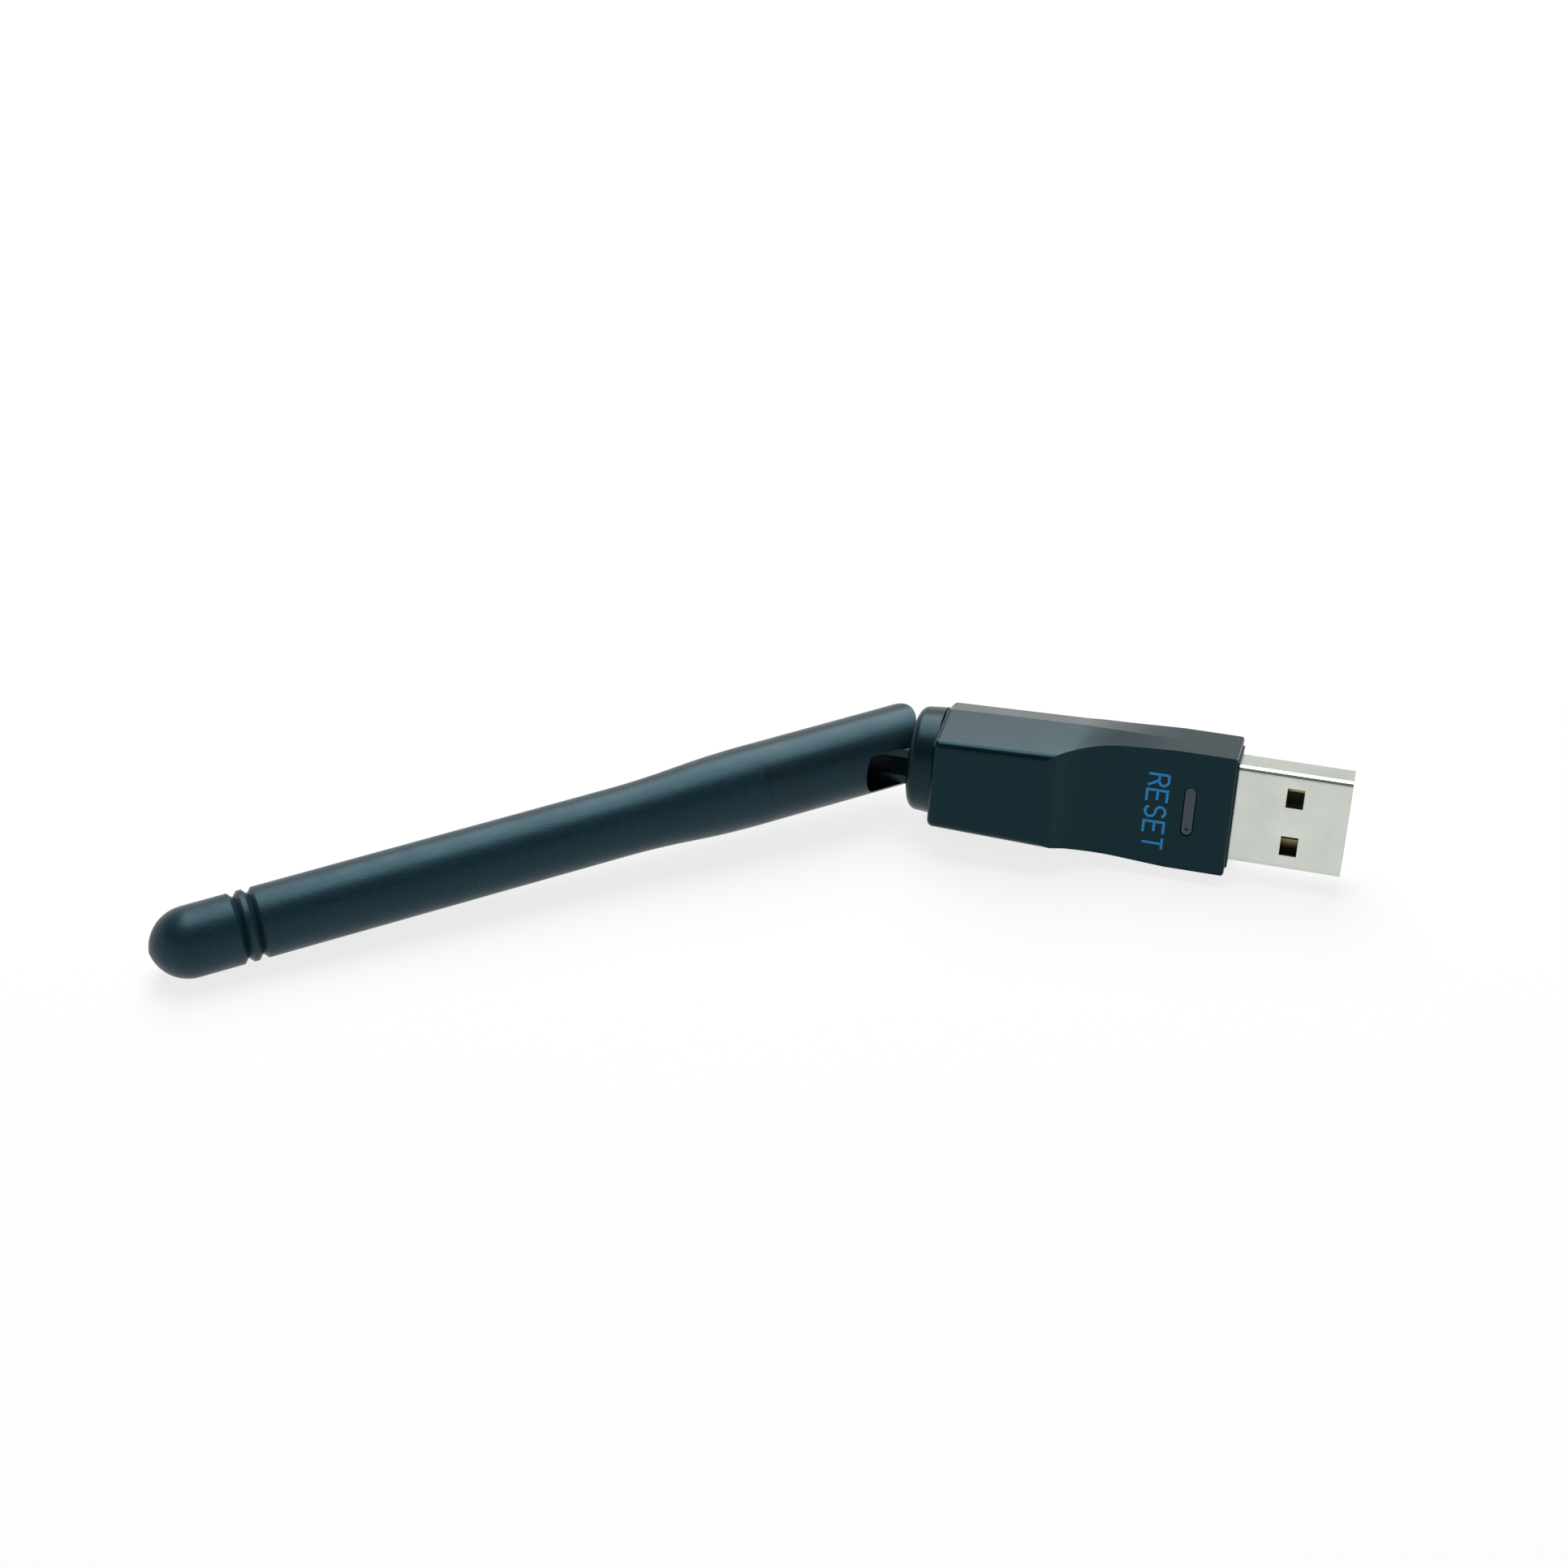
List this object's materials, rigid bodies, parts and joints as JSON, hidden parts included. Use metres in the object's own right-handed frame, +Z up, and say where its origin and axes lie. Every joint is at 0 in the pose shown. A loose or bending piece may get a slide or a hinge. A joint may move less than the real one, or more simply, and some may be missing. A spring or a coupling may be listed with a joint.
{
  "type": "usb radio dongle with folding antenna",
  "caption": "USB-A radio dongle: moulded housing with a plug, a reset button, and a rod antenna that folds and swivels.",
  "frame": {"origin": "on the table below the middle of the part's box, as the dongle lies on one long edge and its antenna's tip", "axes": "+Z up from the table, +X along the housing out of the plug, -Y towards the viewer, out of the face with the reset button, tilted up"},
  "size_m": [0.1258, 0.0624, 0.0159],
  "materials": {
    "housing_plastic": "semi-gloss moulded",
    "hinge_plastic": "satin moulded",
    "antenna_rubber": "soft matte",
    "button_plastic": "satin",
    "plug_steel": "bright nickel plate",
    "plug_plastic": "plain",
    "contact_gilt": "gold flash",
    "board_laminate": "solder mask",
    "chip_resin": "moulded resin",
    "crystal_can": "nickel can",
    "capacitor_ceramic": "fired",
    "lamp_resin": "clear",
    "switch_plastic": "plain",
    "lead_jacket": "smooth",
    "choke_brass": "drawn",
    "bead_plastic": "plain"
  },
  "bodies": {
    "housing": {"upper_housing": "housing_plastic", "lower_housing": "housing_plastic", "usb_shell": "plug_steel", "usb_insulator": "plug_plastic", "usb_contact_1": "contact_gilt", "usb_contact_2": "contact_gilt", "usb_contact_3": "contact_gilt", "usb_contact_4": "contact_gilt", "circuit_board": "board_laminate", "radio_chip": "chip_resin", "main_crystal": "crystal_can", "clock_crystal": "crystal_can", "voltage_regulator": "chip_resin", "indicator_lamp": "lamp_resin", "capacitor_1": "capacitor_ceramic", "capacitor_2": "capacitor_ceramic", "capacitor_3": "capacitor_ceramic", "capacitor_4": "capacitor_ceramic", "reset_switch": "switch_plastic"},
    "knuckle": {"swivel_knuckle": "hinge_plastic"},
    "antenna": {"antenna_fork": "hinge_plastic", "antenna_sleeve": "antenna_rubber", "choke_tube": "choke_brass", "radiator_wire": "choke_brass", "centring_bead": "bead_plastic", "antenna_lead": "lead_jacket"},
    "button": {"reset_button": "button_plastic", "switch_plunger": "switch_plastic"}
  },
  "joints": [
    {"name": "antenna_swivel", "type": "hinge", "parent": "housing", "child": "knuckle", "pos_m": [0.00682, 0.02475, 0.00789], "axis": [1, 0, 0], "range_deg": [-106, 74]},
    {"name": "antenna_fold", "type": "hinge", "parent": "knuckle", "child": "antenna", "pos_m": [0.00682, 0.02475, 0.00789], "axis": [0, -0.0731, 0.9973], "range_deg": [-38.4, 51.6], "deforming": ["antenna_lead"]},
    {"name": "reset_press", "type": "slide", "parent": "housing", "child": "button", "axis": [0, 0.9788, -0.2047], "range_m": [0, 0.0003], "stiffness_N_per_m": 400}
  ]
}
